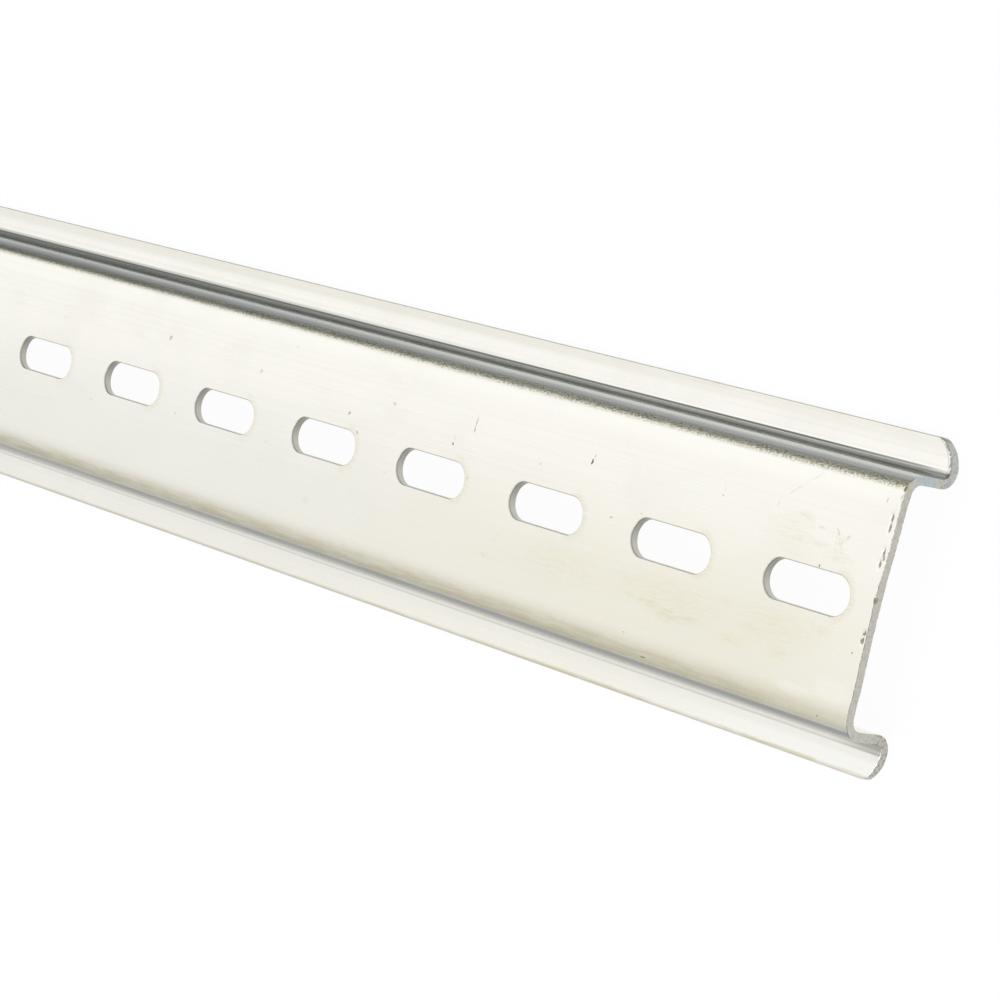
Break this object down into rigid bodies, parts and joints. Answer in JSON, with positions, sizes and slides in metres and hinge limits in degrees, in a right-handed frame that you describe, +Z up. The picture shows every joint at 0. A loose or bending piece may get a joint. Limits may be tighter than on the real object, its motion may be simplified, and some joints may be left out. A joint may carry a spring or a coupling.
{
  "type": "din rail",
  "caption": "Straight perforated top-hat rail of zinc-plated sheet steel, with a row of round-ended slots; devices clip onto its two lips.",
  "frame": {"origin": "middle of the rail's length and width, on the surface that the lips lie on", "axes": "+X along the rail, towards the cut end that the picture shows; +Y across; +Z up, out of the crown's outer face"},
  "size_m": [0.5, 0.035, 0.0075],
  "materials": {
    "zinc_steel": "bright zinc plate with fine rolling lines"
  },
  "bodies": {
    "root": {"rail": "zinc_steel"}
  },
  "joints": []
}
